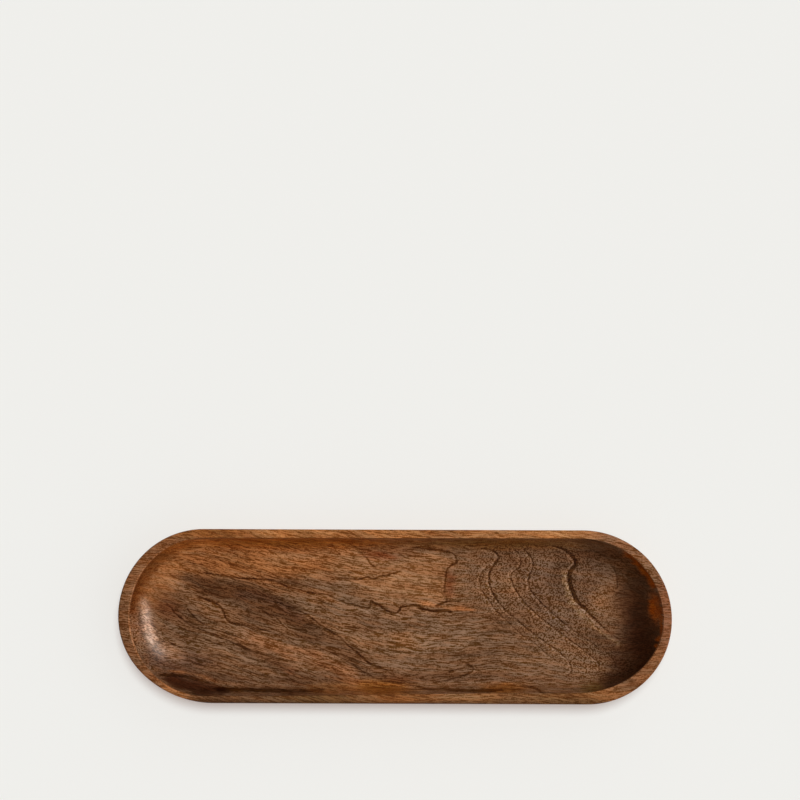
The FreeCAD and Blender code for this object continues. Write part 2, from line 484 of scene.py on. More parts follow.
# Veins that lie close beside the others
side_veins = [
    ((0.9, 1), (0.75, 0.85),
     [(11, 49), (18, 48.5), (25.5, 48), (34.5, 46.5), (41.5, 45), (44.5, 41.5), (44.5, 38), (40, 35.5),
      (37.5, 31), (36.5, 23.5), (36, 18), (37, 13), (39.5, 10)]),
    ((0.9, 0.7), (0.7, 0.7),
     [(-152.5, 4), (-149.5, 1), (-144, -4.5), (-136.5, -9), (-129, -12.5), (-120, -15), (-108.5, -19)]),
    ((1.2, 1), (0.9, 0.9),
     [(28.5, 5.5), (31, 7), (35, 8.5), (38, 10), (43.5, 10), (49, 9.5)]),
    ((1.1, 1), (0.9, 0.9),
     [(32, 17.5), (34, 16), (36.5, 13)]),
    ((1, 0.8), (0.8, 0.7),
     [(-24, 43.5), (-20, 40), (-17, 36), (-12.5, 35)]),
    ((0.7, 0.6), (0.7, 0.7),
     [(39.5, -44.5), (40.5, -41), (45, -40), (48.5, -38.5)]),
    ((0.6, 0.5), (0.8, 0.7),
     [(-124.5, -19), (-113, -23.5), (-100, -30), (-87, -36.5), (-76.5, -41.5), (-62, -48)]),
    ((0.5, 0.4), (0.6, 0.6),
     [(-106, -9.5), (-92, -12.5), (-80, -17.5), (-67, -25), (-52.5, -33), (-38, -40.5)]),
    ((0.5, 0.5), (0.5, 0.6),
     [(-113, 38.5), (-98, 36.5), (-80, 34), (-61, 32), (-45, 31), (-31, 30.5)]),
    ((0.5, 0.5), (0.5, 0.5),
     [(-171, 16), (-159, 12), (-147, 5), (-138, -3), (-126, -9), (-112, -14)]),
    ((0.5, 0.5), (0.5, 0.6),
     [(-166, -3), (-156, -10), (-145, -15), (-132, -21), (-118, -26.5), (-103, -33), (-90, -40)]),
    ((1.3, 0.6), (1.3, 0.8),
     [(-131, -54.2), (-118, -54.6), (-106.5, -54.8), (-96, -55), (-70, -55), (-50.5, -54.5)]),
]


def tint(red, green, blue):
    """A colour as a paint chart gives it, from 0 to 255, made linear."""
    chart = np.array([red, green, blue]) / 255
    return np.where(chart > 0.04045, ((chart + 0.055) / 1.055) ** 2.4, chart / 12.92)


nut_brown = tint(115, 83, 60)
ash_brown = tint(116, 87, 65)
grey_brown = tint(94, 69, 54)
walnut = tint(84, 58, 40)
umber = tint(78, 48, 27)
plum = tint(74, 48, 36)
dark_heart_and_shade = tint(45, 21, 8)
dark_wood_and_shade = tint(68, 40, 22)
rust = tint(108, 52, 24)
copper = tint(136, 92, 62)
ruddy = tint(92, 54, 30)
crescent_figure_and_shade = tint(50, 22, 8)
clay = tint(122, 82, 58)
ginger = tint(130, 86, 54)
honey = tint(140, 90, 52)
peach = tint(152, 105, 70)
painted_highlight_pale = tint(176, 134, 106)
ring_tan = tint(138, 106, 78)
straw = tint(146, 103, 70)
painted_glint_pale = tint(168, 126, 98)
gold = tint(122, 74, 30)
caramel = tint(106, 60, 26)
deep_gold = tint(137, 77, 29)
bronze = tint(106, 66, 28)
olive = tint(96, 70, 36)
cinnamon = tint(150, 96, 58)
toffee = tint(90, 46, 15)
orange_bounce_light = tint(136, 65, 14)
chestnut = tint(114, 76, 50)
cherry = tint(126, 82, 52)
gold_rim = tint(136, 84, 42)
honey_rim = tint(156, 101, 57)
amber = tint(162, 109, 66)
blush = tint(130, 90, 64)
rose_brown = tint(126, 82, 58)
bark = tint(88, 58, 36)
wheat = tint(113, 70, 36)
umber_rim = tint(93, 65, 39)
copper_rim = tint(118, 80, 48)
olive_rim = tint(105, 70, 40)

# Patches of colour in the scoop: tint, X, Y, half length, half width, angle, strength
scoop_patches = [
    # The golden wood at the far left, and the dark stroke in it
    (honey, -95, 39, 94, 14.5, 0, 0.95), (honey, -167, 38, 19, 12.5, 38, 0.9),
    (peach, -170, 24, 12, 12, 30, 0.8), (peach, -60, 42, 34, 6, 0, 0.5), (honey, -179, 18, 12, 19, 0, 0.7),
    (ginger, -149, 10, 44, 8.5, -25, 0.5), (straw, -29, 42, 16, 4.5, -6, 0.7),
    (umber, -146, 25, 13, 3.5, -12, 0.75),
    # The grey-brown wood at the left, the pale middle and its rusty edges
    (ash_brown, -124, -8, 44, 16, -12, 0.4), (straw, 7, 22, 40, 16, -8, 0.9),
    (straw, 24, 33, 19, 14.5, 20, 0.7), (ash_brown, -47, 10, 36, 11.5, -10, 0.5),
    (rust, -11, 43, 14, 3.5, -4, 0.75), (straw, -18, 32, 22, 7, 0, 0.65), (rust, 40, 22, 4, 11.5, 0, 0.6),
    (umber, 4, 4, 25, 3.5, 2, 0.3), (ash_brown, 26, -18, 80, 19, 0, 0.35), (straw, 0, -19, 24, 8, 0, 0.4),
    (umber, 55, -31, 25, 7, 0, 0.35),
    # The pored wood at the right, and at its end dark wood with painted shade over it
    (umber, 84, 43, 25, 10, 0, 0.5), (copper, 84, 14, 6, 9, 25, 0.4),
    (grey_brown, 109, 26, 16, 14.5, 0, 0.5), (walnut, 140, 41, 17, 9, -12, 0.8),
    (walnut, 118, 27, 8, 20, -8, 0.55), (grey_brown, 105, 10, 42, 34, 0, 0.25),
    (grey_brown, 143, 22, 20, 22, 0, 0.4), (straw, 151, 13, 8, 12, -25, 0.45),
    (walnut, 142, -17, 19, 8.5, -35, 0.5), (ash_brown, 113, -36, 44, 13, -5, 0.4),
    (copper, 157, -12, 4, 4.5, 0, 0.6), (dark_wood_and_shade, 175, 2, 14.5, 46, 5, 0.9),
    (walnut, 126, 26, 9, 28, 8, 0.45), (walnut, 153, -20, 12, 16, -20, 0.5),
    (dark_wood_and_shade, 162, -27, 12, 17, 20, 0.45),
    # Single darker and ruddier places, and two paler ones; the dark heart places are dark wood with painted
    # shade over it
    (walnut, -155, -7, 20, 15, 0, 0.6), (umber, 24, -47, 105, 4.5, 0, 0.4),
    (umber, -102, 2, 18, 9, -25, 0.45), (dark_heart_and_shade, 184, 40, 22, 13, -45, 0.5),
    (umber, 162, 41, 19, 7, -38, 0.7), (dark_heart_and_shade, 182, -24, 15, 31, 10, 0.95),
    (dark_heart_and_shade, 163, -45, 24, 8, 24, 0.85), (dark_heart_and_shade, 180, 12, 9, 24, 8, 0.5),
    (plum, -169, -37, 19, 7.5, -30, 0.7), (plum, -150, -43, 15, 3.5, -14, 0.55),
    (umber, -135, -45, 26, 4.5, -8, 0.6), (umber, -97, -30, 19, 5, -20, 0.45),
    (umber, -75, -44, 19, 5, -28, 0.55), (rust, -76, -42, 4, 3.5, -20, 0.2),
    (copper, -36, -48, 22, 6, -20, 0.4), (straw, -30, -19, 22, 6, -32, 0.35),
    (umber, -77, 20.5, 17, 5.5, -8, 0.75), (umber, -110, -4, 14, 6, -25, 0.3),
    (umber, -68, -49, 40, 4.5, 0, 0.5), (toffee, 0, -49, 16, 3.5, 0, 0.5),
    (plum, -148, -34, 18, 6, -8, 0.7), (dark_heart_and_shade, 164, -33, 8, 8, 30, 0.6),
    (umber, 134, 44, 16, 6, -6, 0.6), (bronze, 82, 21, 9, 7, 0, 0.3),
    (dark_heart_and_shade, -85, -55, 34, 2.2, -2, 0.6),
    # The walls, and painted orange bounce light on the shaded wall at the right end
    (gold, -11, -53, 26, 6, -4, 0.9), (gold, 80, -53, 17, 3.5, 0, 0.8), (gold, -47, -54, 17, 4.5, 0, 0.5),
    (olive, 143, -53, 10, 4.5, 6, 0.8), (deep_gold, -77, 52, 100, 5.5, 0, 0.95),
    (deep_gold, -163, 49, 16, 4.5, 35, 0.7), (clay, -188, -8, 6, 15, 0, 0.7),
    # The pale patch below the left end's polished strip is a painted glint
    (ruddy, -165, 4, 11, 7, -30, 0.85), (painted_glint_pale, -164, -29, 9, 5, -30, 0.3),
    (bronze, 76, 52, 65, 5.0, 0, 0.85), (dark_heart_and_shade, 149, 50, 19, 6, -20, 0.6),
    (orange_bounce_light, 188, 6.5, 3.6, 10, 4, 1.0),
]

# The smooth pale ring that lies beside the darkest one
pale_ring = [(123, 37), (123.5, 28), (124.5, 20), (127, 13), (131, 6), (138, -1.5), (145, -8)]

# Long bands of colour in the scoop: tint, half width, strength, line. A half width or a strength
# may be several, evenly spaced along the line.
scoop_bands = [
    (ginger, 4.5, 0.6,
     [(-102, 23), (-69, 16), (-40, 10)]),
    (umber, (8.0, 8.5, 8.5, 8.5, 7.5, 7.0, 6.0, 5.5), (0.8, 0.9, 0.95, 0.95, 0.9, 0.5, 0.4, 0.6),
     [(-158, 26), (-144, 22), (-128, 18), (-115, 16), (-98, 11), (-78, 1), (-68, -8), (-48, -20),
      (-32, -28), (-24, -35), (-12, -42)]),
    (plum, 3.5, 0.4,
     [(-120, 15), (-97, 12), (-80, 4), (-66, -4)]),
    (copper, 5.5, 0.7,
     [(-119, -13), (-97, -21), (-76, -28), (-52, -33), (-36, -42), (-25, -51)]),
    (caramel, 4.5, 0.85,
     [(-140, 51.5), (-155, 49.5), (-166, 44.5), (-175, 37.5), (-181, 29), (-185, 19), (-187.5, 8)]),
    (cinnamon, 1.4, 0.85,
     [(15, 8.8), (23, 7.6), (30, 6.4), (42, 4.8), (52, 3.7), (60, 2.5)]),
    (ring_tan, (1.2, 1.8, 1.8, 1.6, 0.8, 0.7, 0.7), 0.75,
     [*pale_ring, (152, -14), (160, -19), (165, -22.5)]),
    # Painted shade: a dark line inside the rim on the upper left wall, where the rim shades it
    (toffee, (3.6, 3.6, 3.2, 2.2), 0.9,
     [(-172, 47), (-180, 40), (-185, 30), (-187.5, 19.5), (-189.5, 9), (-190, -2)]),
    (plum, 1.3, 0.45,
     [(-185.5, 6), (-185, 0), (-184.5, -7), (-183, -14)]),
    # A painted highlight: a pale band along the left end's wall, where the polished strip reflects the
    # window
    (painted_highlight_pale, (2.2, 2.9, 3.2), 0.75,
     [(-183.5, 12), (-182, 4), (-180.5, -4), (-179, -12), (-177, -17), (-174.5, -22)]),
    (copper, 0.9, 0.8,
     [(-166, -41.2), (-156, -42.2), (-146, -44), (-137, -46.6), (-129, -49.5)]),
    # The dark crescent on the near left wall: the wood's dark figure with painted shade over it
    (crescent_figure_and_shade, (0.6, 3.4, 4.6, 4.8, 4.2, 2.6, 1.4), 0.95,
     [(-172, -43.3), (-163, -46.6), (-155.8, -49.3), (-148.5, -51.5), (-141, -53.3), (-129.5, -54.2),
      (-117, -54.6)]),
    # Painted orange bounce light just under the rim on the right end's shaded wall
    (orange_bounce_light, 2.6, 1.0,
     [(164, 47.5), (170, 44), (177, 38), (183, 30), (188, 20)]),
    (orange_bounce_light, 1.3, 0.8,
     [(191.5, 14), (192.5, 0), (192, -14), (189, -28)]),
    (grey_brown, 5.0, 0.5,
     [(101, 22), (109, 4), (128, -12)]),
]

# Patches of colour on the rim, written as the scoop's are
rim_patches = [
    # The far side, from the left tip to the right one
    (chestnut, -195, 1, 9, 32, 0, 0.9), (cherry, -177, 43, 29, 16, 42, 0.9),
    (gold_rim, -130, 60, 32, 7, 0, 0.9), (honey_rim, -76, 60, 36, 7, 0, 0.9),
    (amber, -47, 60, 17, 6, 0, 0.5), (honey_rim, 3, 61, 44, 7, 0, 0.9), (amber, 54, 61, 19, 6, 0, 0.8),
    (amber, 108, 60, 44, 7, 0, 0.9), (blush, 164, 53, 29, 11.5, -35, 0.9),
    (rose_brown, 197, 6, 9, 36, 0, 0.9),
    # The near side and its corners
    (cherry, 184, -36, 19, 19, 45, 0.9), (honey_rim, 148, -57, 22, 7, 10, 0.5),
    (chestnut, -189, -28, 13, 19, -40, 0.8), (cherry, -169, -49, 19, 7, -35, 0.8),
    (honey_rim, -158, -54.5, 13, 4, -30, 0.5), (bark, -129, -60, 17, 7, 0, 0.9),
    (bark, -101, -60, 29, 7, 0, 0.9), (umber_rim, -52, -59, 32, 7, 0, 1.0), (wheat, 4, -59, 36, 7, 0, 0.9),
    (copper_rim, 62, -59, 34, 7, 0, 0.8), (olive_rim, 122, -59, 36, 7, 0, 0.9),
    # A golden place at the far left
    (gold_rim, -144, 62, 16, 3, 0, 0.5),
]

# The strip of the left end's wall that hands have polished, from its far end
polished_strip = [(-183.5, 16), (-182, 9), (-181, 0), (-180, -9), (-178, -17), (-175, -23), (-171, -28)]

# Where the open pores of the end grain show: X, Y, half length, half width, strength
pored_places = [
    (84, 26, 36, 28, 1.0), (122, 5, 36, 34, 1.0), (120, 30, 30, 24, 1.0), (140, -30, 22, 16, 1.0),
]

# Where the fibres are marked more strongly, in the same order
marked_places = [(-100, 12, 32, 11, 0.6), (-62, -6, 26, 12, 0.5), (-150, -10, 26, 14, 0.2)]

# Where the wood is sanded smoother and its grain shows less, in the same order
smooth_places = [
    (-95, 41, 95, 14, 0.04), (-176, 24, 20, 26, 0.45), (8, 25, 36, 14, 0.15), (184, 6, 20, 50, 0.5),
    (-158, -46, 22, 10, 0.35),
]

# How firm the edge of a patch of colour, of a place and of a band is: the higher, the firmer
patch_edge, place_edge, band_edge = 1.7, 2, 4

# Where the side walls count as starting and ending, outwards from the middle line
side_wall_start, side_wall_end = 40, 52
# Rows of fibres for each millimetre up a side wall. Layers of wood for each millimetre of height
# on level wood, and how many fewer there are on a side wall.
row_climb = 0.8
layer_climb, wall_layer_loss = 0.5, 0.4

# How clearly the grain shows: more so in end grain, less so on the pale ring, whose half width
# this is, and all over outside the scoop
end_grain_gain, pale_ring_loss, pale_ring_half_width = 0.32, 0.6, 2.0
outer_clearness = 0.88

# The polished strip's half width and strength, from its far end to its near end
polish_half_widths, polish_strengths = (2.7, 5.7), (1.0, 0.6)

# The colours' edges are ragged: cells along and across the fibres, and how far they wander.
# Without a seed the noise would start from the clock and give other edges at each run.
ragged_cells, ragged_reach = (9.0, 2.5), (3.0, 1.6)
ragged_seed = 5

# How much of the outer sides and the base is one calm brown
calm_share = 0.6

# How edges and walls differ from the wood's own lightness: the painted highlight on the inner edge on the
# far side, on the near side and at the near left, the near rim and the painted shade on its outer edge, and
# painted light and shade on the two walls
far_edge_highlight, near_edge_highlight, left_edge_highlight = 0.4, 0.1, 0.7
near_rim_gain, near_arris_painted_shade = 0.16, 0.55
far_wall_foot_shade, far_wall_painted_light, near_wall_painted_light = 0.86, 1.05, 0.22


def cover_of(spots, places):
    """How strongly each spot is covered by the nearest of some soft, round-ended places."""
    cover = np.zeros(len(spots))
    for x, y, half_length, half_width, strength in places:
        away = ((spots[:, 0] - x) / half_length) ** 2 + ((spots[:, 1] - y) / half_width) ** 2
        cover = np.maximum(cover, strength * np.exp(-away ** place_edge))
    return cover


def lay_patches(colours, spots, patches):
    """Blends soft patches of colour over what is there, one after another."""
    for colour, x, y, half_length, half_width, angle, strength in patches:
        cos, sin = math.cos(math.radians(angle)), math.sin(math.radians(angle))
        off_x, off_y = spots[:, 0] - x, spots[:, 1] - y
        away_along = (off_x * cos + off_y * sin) / half_length
        away_across = (off_y * cos - off_x * sin) / half_width
        away = away_along ** 2 + away_across ** 2
        cover = (strength * np.exp(-(away ** patch_edge)))[:, None]
        colours += (colour - colours) * cover


def soft_ends(part, share):
    """1 along the middle of a line, sinking to 0 over a share of it at each end."""
    return ramp(np.minimum(part, 1 - part), 0, share)


def lay_bands(colours, spots, bands):
    """Blends bands of colour along lines, one after another."""
    for colour, half_widths, strengths, points in bands:
        offset, part = beside(spots, flowing(points, band_step))
        half_width = along_line(part, np.atleast_1d(half_widths))
        strength = along_line(part, np.atleast_1d(strengths))
        within = np.exp(-np.abs(offset / half_width) ** band_edge)
        cover = (strength * soft_ends(part, 1 / 8) * within)[:, None]
        colours += (colour - colours) * cover


def write_attribute(mesh, name, values):
    """Keeps three numbers at every vertex under a name."""
    layer = mesh.attributes.new(name, "FLOAT_VECTOR", "POINT")
    layer.data.foreach_set("vector", np.asarray(values, dtype=np.float32).ravel())


def grain_of(plan, z, in_scoop, along, across):
    """Where each spot is in the wood: along the fibres, over their rows and up their layers."""
    # Along the two sides the fibres run level, so their rows are counted up the walls there
    y = plan[:, 1]
    scoop_wall = np.sign(y) * ramp(np.abs(y), side_wall_start, side_wall_end)
    outer_wall = np.sign(y) * ramp(np.abs(y), 0, side_wall_end)
    wall = np.where(in_scoop, scoop_wall, outer_wall)
    climb = np.where(in_scoop, z - floor_thickness, height - z)
    rows = across + row_climb * wall * climb
    layers = (layer_climb - wall_layer_loss * np.abs(wall)) * z
    layers += np.abs(wall) * np.maximum(foot_radius - z, 0)
    return np.stack([along, rows, layers], 1)


def finish_of(plan, in_scoop):
    """How much end grain, how much polish and how clear a grain each spot has."""
    end_grain = cover_of(plan, pored_places) * in_scoop
    clearness = 1 + end_grain_gain * end_grain
    clearness += cover_of(plan, marked_places) - cover_of(plan, smooth_places)
    clearness = np.where(in_scoop, clearness, outer_clearness)
    offset, part = beside(plan, flowing(pale_ring, band_step))
    within = np.exp(-np.abs(offset / pale_ring_half_width) ** band_edge)
    clearness -= pale_ring_loss * within * soft_ends(part, 1 / 6)
    offset, part = beside(plan, flowing(polished_strip, band_step))
    within = np.exp(-(offset / along_line(part, polish_half_widths)) ** 2)
    gloss = within * ramp(part, 0, 1 / 4) * along_line(part, polish_strengths) * in_scoop
    return np.stack([end_grain, gloss, clearness], 1)


def painted_shading_of(plan, z, place):
    """How much lighter or darker than its own colour each spot is: painted highlights on edges, painted
    light and shade on walls.
    """
    x, y = plan[:, 0], plan[:, 1]
    near = y < 0
    # The rim's inner edge is paler all round: a painted highlight where it catches the light
    near_edge = near_edge_highlight + left_edge_highlight * ramp(x, -182, -190)
    shading = 1 + (place == inner_edge) * np.where(near, near_edge, far_edge_highlight)
    # The near rim is a little paler, and painted shade darkens its outer edge
    on_near_rim = near * ((place == rim) | (place == inner_edge)) * ramp(y, -50, -54)
    shading *= 1 + on_near_rim * (near_rim_gain - near_arris_painted_shade * ramp(y, -59.6, -62.2))
    # Painted light makes the walls paler towards the mouth, and painted shade darkens the far wall where it
    # meets the floor
    rise = np.clip((z - floor_thickness) / (height - floor_thickness), 0, 1)
    share = np.sqrt(1 - (1 - rise * (1 - math.cos(wall_sweep))) ** 2) / math.sin(wall_sweep)
    far_wall = np.where(share > 0, far_wall_foot_shade + far_wall_painted_light * ramp(share, 0.12, 0.72), 1.0)
    near_wall = 1 + near_wall_painted_light * ramp(share, 0, 0.2) * ramp(x, -110, -50)
    beside_wall = (place == scoop) * ramp(np.abs(y), 44, 49)
    return shading * (1 + beside_wall * (np.where(near, near_wall, far_wall) - 1))


def colours_of(plan, z, place, along, across):
    """The colour that is washed into the wood at each spot, with painted light and shade on its edges and
    walls.
    """
    # The colours follow the wood, which wanders by a millimetre or two
    noise.seed_set(ragged_seed)
    ragged = np.array([
        noise.noise_vector(Vector((u / ragged_cells[0], v / ragged_cells[1], 0.5)))[:2]
        for u, v in zip(along, across)
    ])
    wandering = plan + ragged * ragged_reach
    in_scoop = place == scoop
    colours = np.tile(nut_brown, (len(plan), 1))
    inner, outer = colours[in_scoop], colours[~in_scoop]
    lay_patches(inner, wandering[in_scoop], scoop_patches)
    lay_bands(inner, wandering[in_scoop], scoop_bands)
    lay_patches(outer, wandering[~in_scoop], rim_patches)
    colours[in_scoop], colours[~in_scoop] = inner, outer
    out_of_sight = place < rim
    colours[out_of_sight] += (chestnut - colours[out_of_sight]) * calm_share
    return colours * painted_shading_of(plan, z, place)[:, None]


def stain_and_shade_plate(mesh):
    """Keeps the grain, the lines and the colours of the wood, with their painted light and shade, at every
    vertex of the plate.
    """
    count = len(mesh.vertices)
    spots = np.empty(count * 3, dtype=np.float32)
    mesh.vertices.foreach_get("co", spots)
    spots = spots.reshape(-1, 3).astype(float) / millimetre
    place = np.empty(count, dtype=np.float32)
    mesh.attributes["place"].data.foreach_get("value", place)
    plan, z = spots[:, :2], spots[:, 2]
    in_scoop = place == scoop

    along, across = map_of_grain(plan[:, 0], plan[:, 1])
    write_attribute(mesh, "grain", grain_of(plan, z, in_scoop, along, across))
    finish = finish_of(plan, in_scoop)
    write_attribute(mesh, "finish", finish)
    # Thin veins show in straight grain, and most in the left half
    straight_grain = in_scoop * np.clip(1 - 2 * finish[:, 0], 0, 1)
    veining = straight_grain * np.maximum(ramp(plan[:, 0], 25, -25), 0.1)
    write_attribute(mesh, "veining", np.stack([veining] * 3, 1))
    for name, lines in (("rings", growth_rings), ("veins", veins), ("side veins", side_veins)):
        drawn = draw_lines(plan, lines)
        drawn[:, 1] *= in_scoop
        write_attribute(mesh, name, drawn)
    write_attribute(mesh, "wash_and_painted_light", colours_of(plan, z, place, along, across))


class Nodes:
    """Puts a material's nodes together in few words."""

    def __init__(self, tree):
        self.tree = tree

    def add(self, kind, settings=(), **inputs):
        """A node with its settings and its inputs, which are named, or numbered as in _0."""
        node = self.tree.nodes.new(kind)
        for name, value in dict(settings).items():
            setattr(node, name, value)
        for name, value in inputs.items():
            key = int(name[1:]) if name[0] == "_" and name[1:].isdigit() else name.replace("_", " ")
            self.feed(node.inputs[key], value)
        return node

    def feed(self, socket, value):
        """Links a socket to a node or to another socket, or gives it a constant value."""
        if isinstance(value, bpy.types.NodeSocket):
            self.tree.links.new(value, socket)
        elif isinstance(value, bpy.types.Node):
            self.tree.links.new(value.outputs[0], socket)
        else:
            socket.default_value = value

    def sums(self, operation, first, second=0.5, third=0.5):
        """The result of one sum on up to three values."""
        node = self.add("ShaderNodeMath", {"operation": operation}, _0=first, _1=second)
        self.feed(node.inputs[2], third)
        return node.outputs[0]

    def span(self, value, low, high, new_low=0.0, new_high=1.0):
        """A value brought from one span to another, with soft ends."""
        ends = {"From_Min": low, "From_Max": high, "To_Min": new_low, "To_Max": new_high}
        smooth = {"interpolation_type": "SMOOTHSTEP"}
        return self.add("ShaderNodeMapRange", smooth, Value=value, **ends).outputs[0]

    def cells(self, vector, size, detail=2.0, roughness=0.5):
        """Noise whose cells are size millimetres along, across and up."""
        scaled = self.dyed(vector, [1 / side for side in size])
        look = {"Scale": 1.0, "Detail": detail, "Roughness": roughness}
        return self.add("ShaderNodeTexNoise", Vector=scaled, **look).outputs["Fac"]

    def blend(self, amount, first, second):
        """The first colour at 0, the second at 1, and both of them between."""
        node = self.add("ShaderNodeMix", {"data_type": "RGBA", "blend_type": "MIX"})
        self.feed(node.inputs[0], amount)
        self.feed(node.inputs[6], first)
        self.feed(node.inputs[7], second)
        return node.outputs[2]

    def dyed(self, colour, dye):
        """A colour or another three numbers multiplied by a dye, channel by channel."""
        multiply = {"operation": "MULTIPLY"}
        return self.add("ShaderNodeVectorMath", multiply, _0=colour, _1=dye).outputs[0]


# Dyes for the wood, which the washed-in colour is multiplied by
dark_fibre_dye, pale_fibre_dye = (0.47, 0.33, 0.11), (1.48, 1.54, 1.64)
vein_dye = (0.62, 0.52, 0.37)
line_dye, line_edge_dye = (0.38, 0.27, 0.12), (1.55, 1.68, 1.84)

# Slow patterns in the wood: cells along the fibres, across them and up in millimetres, detail,
# roughness, lowest and highest value, and the dyes at those
slow_patterns = [
    ((60.0, 3.6, 3.6), 2.0, 0.6, 0.34, 0.66, (0.90, 0.87, 0.84), (1.12, 1.13, 1.14)),
    ((18.0, 7.0, 7.0), 1.0, 0.5, 0.32, 0.68, (0.92, 0.90, 0.88), (1.08, 1.10, 1.12)),
    ((20.0, 3.0, 3.0), 1.0, 0.5, 0.36, 0.64, (0.96, 1.02, 1.06), (1.05, 0.97, 0.86)),
]

# Drawn lines: their name, how pale the wood on their left is, and how strongly they shake
line_kinds = [("rings", 0.8, 1.4), ("veins", 0.25, 2.2), ("side veins", 0.0, 2.0)]

# How far the fibres wander along, across and up, in millimetres
wander_reach = (0.0, 3.4, 1.2)
# Polish makes the wood smoother and shinier
dull_roughness, polish_smoothing = 0.56, -0.25
dull_shine, polish_shine = 0.03, 0.85
# Relief of the fibres: its strength, and its depth in metres
relief_strength, relief_depth = 0.4, 0.00025


def oiled_mango_wood():
    """Hand-sanded, oiled wood: fibres, pores, rings and veins over the washed-in colours, which carry
    painted light and shade.
    """
    material = bpy.data.materials.new("oiled mango wood")
    material.use_nodes = True
    tree = material.node_tree
    n = Nodes(tree)
    shader = tree.nodes["Principled BSDF"]

    def kept(name):
        return n.add("ShaderNodeAttribute", {"attribute_name": name}).outputs["Vector"]

    def parts(vector):
        return n.add("ShaderNodeSeparateXYZ", Vector=vector).outputs

    def from_middle(value):
        return n.sums("SUBTRACT", value, 0.5)

    grain = kept("grain")
    end_grain, gloss, clearness = parts(kept("finish"))
    veining = parts(kept("veining"))[0]
    wash_and_painted_light = kept("wash_and_painted_light")

    # A slow wander that keeps every line from looking drawn with a ruler
    wander = n.add("ShaderNodeTexNoise", Vector=grain, Scale=0.06, Detail=1.0, Roughness=0.4)
    wander = n.add("ShaderNodeVectorMath", {"operation": "SUBTRACT"},
                   _0=wander.outputs["Color"], _1=(0.5, 0.5, 0.5))
    wandering = n.add("ShaderNodeVectorMath", {"operation": "MULTIPLY_ADD"},
                      _0=wander, _1=wander_reach, _2=grain)

    # Straight fibres and their pores, and the open pores of the end grain where the rings rise
    fibres = n.cells(wandering, (12.0, 0.72, 0.72), 1.0, 0.6)
    pores = n.cells(wandering, (4.5, 0.52, 0.52), 0.0)
    grit = n.cells(grain, (1.0, 0.86, 0.86), 0.0)
    straight = n.sums("MULTIPLY_ADD", from_middle(pores), 0.85, fibres)
    straight = n.sums("MULTIPLY_ADD", from_middle(grit), 0.5, straight)
    fine = n.blend(end_grain, n.span(straight, 0.31, 0.67), n.span(grit, 0.445, 0.53))
    fine = n.sums("MULTIPLY_ADD", from_middle(fine), clearness, 0.5)
    colour = n.blend(fine, n.dyed(wash_and_painted_light, dark_fibre_dye), n.dyed(wash_and_painted_light, pale_fibre_dye))

    # Thin dark veins that run beside each other through the straight grain, with lulls between
    flow = n.cells(wandering, (80.0, 5.0, 5.0), 2.0, 0.45)
    lulls = n.cells(wandering, (34.0, 7.0, 7.0), 1.0)
    contour = n.sums("PINGPONG", n.sums("MULTIPLY", flow, 6.0), 0.5)
    vein = n.sums("MULTIPLY", n.span(contour, 0.15, 0.02), n.span(lulls, 0.42, 0.62))
    colour = n.blend(n.sums("MULTIPLY", vein, veining), colour, n.dyed(colour, vein_dye))

    for size, detail, roughness, lowest, highest, low_dye, high_dye in slow_patterns:
        pattern = n.span(n.cells(wandering, size, detail, roughness), lowest, highest)
        colour = n.blend(pattern, n.dyed(colour, low_dye), n.dyed(colour, high_dye))

    # Rings and veins: each is a thin dark core, and most are paler on their left
    wobble = n.cells(grain, (2.8, 1.7, 1.7), 2.0, 0.6)
    breaks = n.span(n.cells(grain, (7.0, 4.0, 4.0), 1.0), 0.36, 0.56, 0.7, 1.3)
    for name, pale_side, shake in line_kinds:
        offset, strength, half_width = parts(kept(name))
        strength = n.sums("MULTIPLY", strength, breaks)
        offset = n.sums("MULTIPLY_ADD", from_middle(wobble), shake, offset)
        ratio = n.sums("DIVIDE", n.sums("ABSOLUTE", offset, 0.0), half_width)
        core = n.sums("MULTIPLY", n.span(ratio, 1.15, 0.5), strength)
        if pale_side:
            beyond = n.sums("SUBTRACT", n.sums("MULTIPLY", offset, -1.0), half_width)
            pale = n.sums("MULTIPLY", n.span(beyond, 2.3, 0.9), n.span(beyond, 0.0, 0.4))
            pale = n.sums("MULTIPLY", n.sums("MULTIPLY", pale, strength), pale_side)
            colour = n.blend(n.sums("MINIMUM", pale, 1.0), colour, n.dyed(colour, line_edge_dye))
        colour = n.blend(n.sums("MINIMUM", core, 1.0), colour, n.dyed(colour, line_dye))

    n.feed(shader.inputs["Base Color"], colour)
    roughness = n.sums("MULTIPLY_ADD", gloss, polish_smoothing, dull_roughness)
    n.feed(shader.inputs["Roughness"], roughness)
    shine = n.sums("MULTIPLY_ADD", gloss, polish_shine, dull_shine)
    n.feed(shader.inputs["Specular IOR Level"], shine)
    bump = n.add("ShaderNodeBump", Height=fine, Strength=relief_strength, Distance=relief_depth)
    n.feed(shader.inputs["Normal"], bump.outputs["Normal"])
    return material


def make_plate():
    """The carved plate, which stands for the CAD node of the same form."""
    bm = carve_plate()
    sand_by_hand(bm)
    bmesh.ops.scale(bm, vec=(millimetre,) * 3, verts=bm.verts)
    mesh = bpy.data.meshes.new("carved plate")
    bm.to_mesh(mesh)
    bm.free()
    mesh.polygons.foreach_set("use_smooth", [True] * len(mesh.polygons))
    stain_and_shade_plate(mesh)
    mesh.materials.append(oiled_mango_wood())
    plate = bpy.data.objects.new("carved_plate", mesh)
    bpy.context.scene.collection.objects.link(plate)
    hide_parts("plate")
    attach(plate, "root")
    return plate


# Studio

